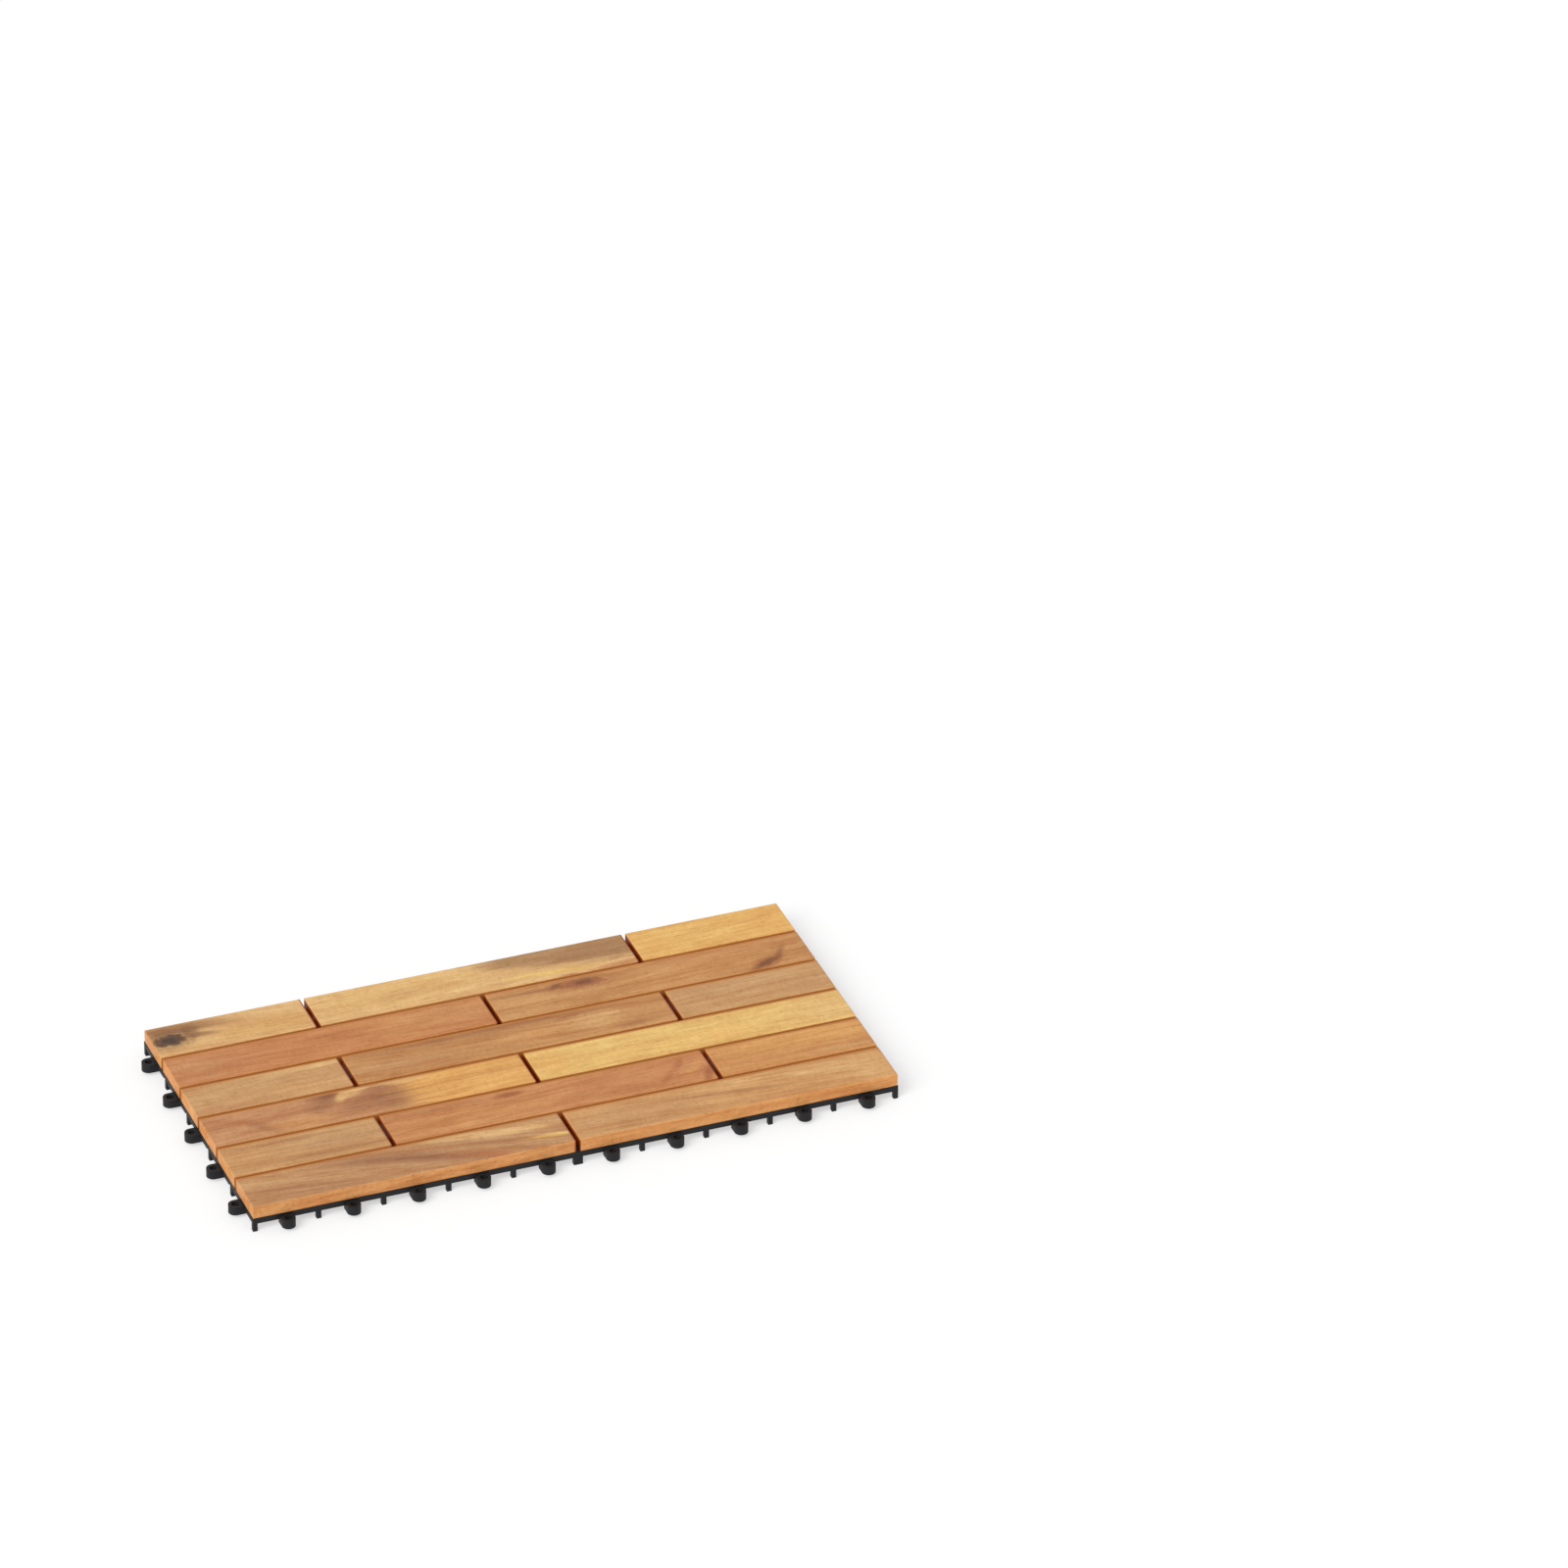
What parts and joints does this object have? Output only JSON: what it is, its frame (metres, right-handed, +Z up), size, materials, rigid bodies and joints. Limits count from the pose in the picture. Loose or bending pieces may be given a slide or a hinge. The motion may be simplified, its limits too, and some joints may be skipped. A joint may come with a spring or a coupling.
{
  "type": "interlocking deck tile",
  "caption": "Rectangular outdoor floor tile: hardwood slats in running bond on a black moulded base with feet, with loops on two sides and pegs on the other two that hook tiles together.",
  "frame": {"origin": "on the floor plane, under the centre of the wooden deck, at the underside of the foot in the middle", "axes": "+X along the slats and the long side, +Y from the front loops to the back pegs, +Z up out of the deck"},
  "size_m": [0.6133, 0.3133, 0.0254],
  "materials": {
    "slat_1_left": "satin",
    "slat_1_right": "satin",
    "slat_2_left": "satin",
    "slat_2_middle": "satin",
    "slat_2_right": "satin",
    "slat_3_left": "satin",
    "slat_3_right": "satin",
    "slat_4_left": "satin",
    "slat_4_middle": "satin",
    "slat_4_right": "satin",
    "slat_5_left": "satin",
    "slat_5_right": "satin",
    "slat_6_left": "satin",
    "slat_6_middle": "satin",
    "slat_6_right": "satin",
    "base": "matte"
  },
  "bodies": {
    "root": {"slat_1_left": "slat_1_left", "slat_1_right": "slat_1_right", "slat_2_left": "slat_2_left", "slat_2_middle": "slat_2_middle", "slat_2_right": "slat_2_right", "slat_3_left": "slat_3_left", "slat_3_right": "slat_3_right", "slat_4_left": "slat_4_left", "slat_4_middle": "slat_4_middle", "slat_4_right": "slat_4_right", "slat_5_left": "slat_5_left", "slat_5_right": "slat_5_right", "slat_6_left": "slat_6_left", "slat_6_middle": "slat_6_middle", "slat_6_right": "slat_6_right", "base": "base"}
  },
  "joints": []
}
